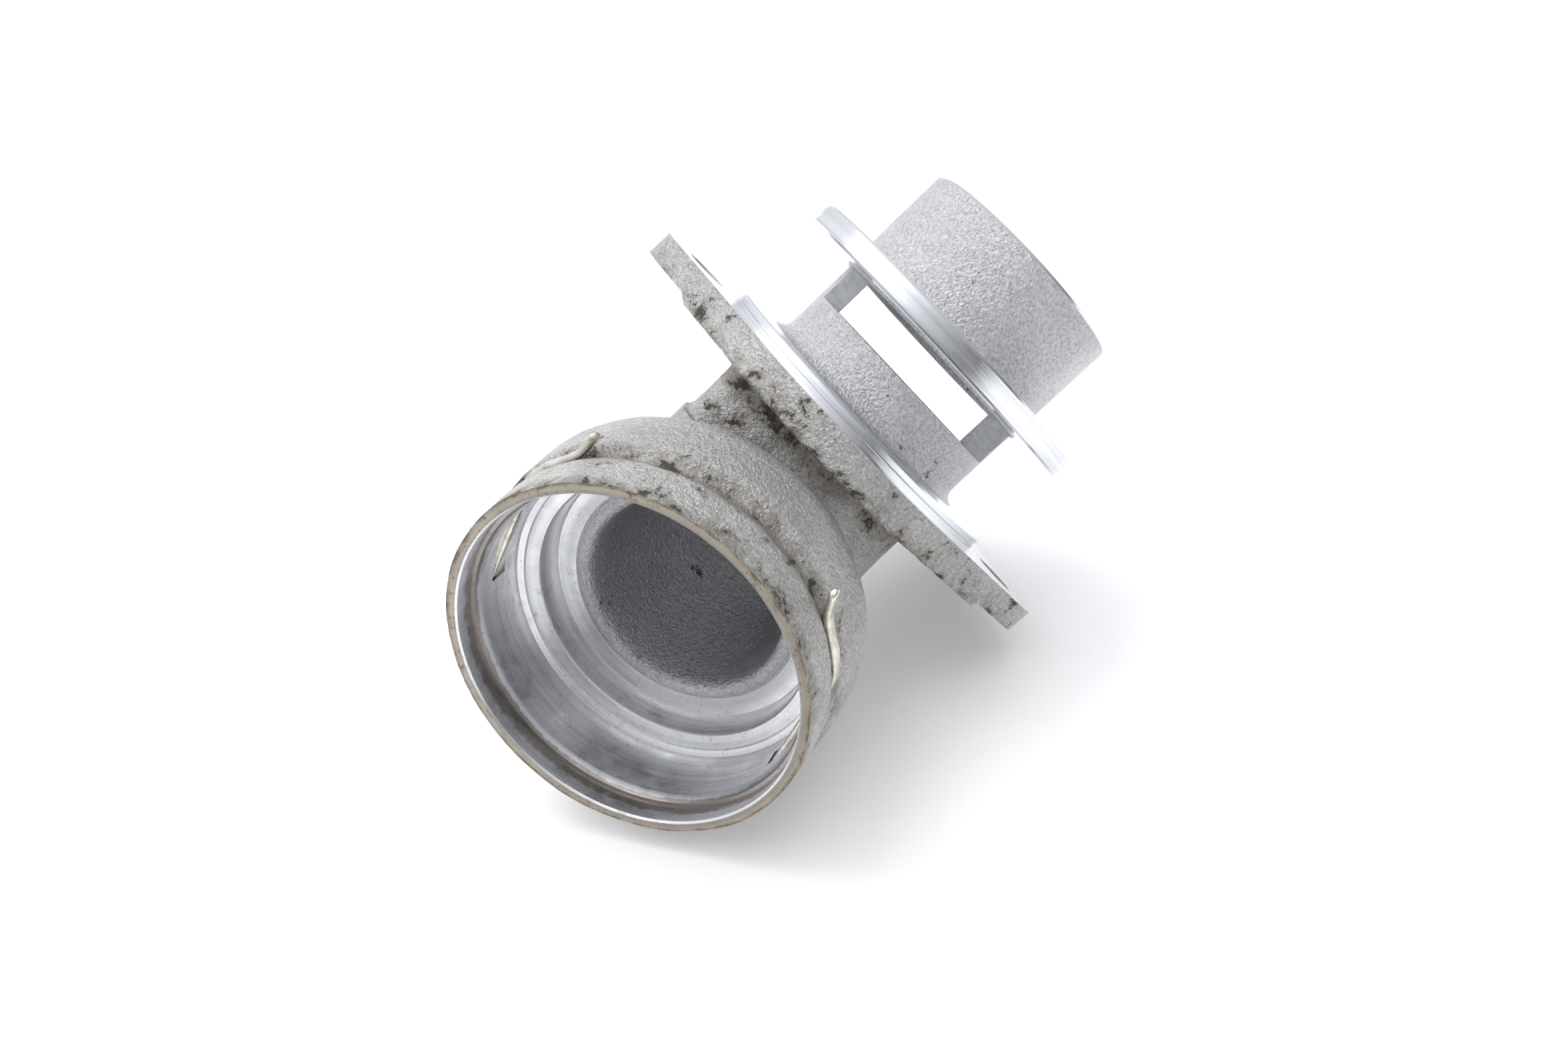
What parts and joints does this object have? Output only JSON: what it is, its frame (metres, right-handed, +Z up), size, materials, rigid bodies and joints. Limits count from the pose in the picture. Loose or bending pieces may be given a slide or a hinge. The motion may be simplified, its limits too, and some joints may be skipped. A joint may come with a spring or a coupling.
{
  "type": "quick-release pipe elbow",
  "caption": "Cast pipe elbow with a spring-clip socket, a bolt-on flange plate and a plain hose spigot with wide windows in the side of its neck.",
  "frame": {"origin": "centre of the bounding box's bottom, on the surface the coupling lies on", "axes": "+Z up with the coupling lying at rest, +Y into the socket seen from above, so the socket's mouth faces -Y"},
  "size_m": [0.1092, 0.1248, 0.099],
  "materials": {
    "cast_metal": "fine-grained as-cast skin with bright turned faces, dark pits and stains",
    "spring_wire": "dull drawn wire with a warm tarnish"
  },
  "bodies": {
    "casting": {"socket_housing": "cast_metal", "elbow_pipe": "cast_metal", "flange_plate": "cast_metal", "windowed_neck": "cast_metal", "round_flange": "cast_metal", "hose_tube": "cast_metal", "clip_bow": "spring_wire"},
    "leg_left": {"clip_leg_left": "spring_wire"},
    "leg_right": {"clip_leg_right": "spring_wire"}
  },
  "joints": [
    {"name": "leg_left_spread", "type": "hinge", "parent": "casting", "child": "leg_left", "pos_m": [0.00342, -0.04956, 0.00946], "axis": [0, 0.9924, -0.1234], "range_deg": [0, 5], "stiffness_Nm_per_rad": 0.1, "springref_deg": -2.86},
    {"name": "leg_right_spread", "type": "hinge", "parent": "casting", "child": "leg_right", "pos_m": [-0.05267, -0.04541, 0.04283], "axis": [0, -0.9924, 0.1234], "range_deg": [0, 5], "stiffness_Nm_per_rad": 0.1, "springref_deg": -2.86}
  ]
}
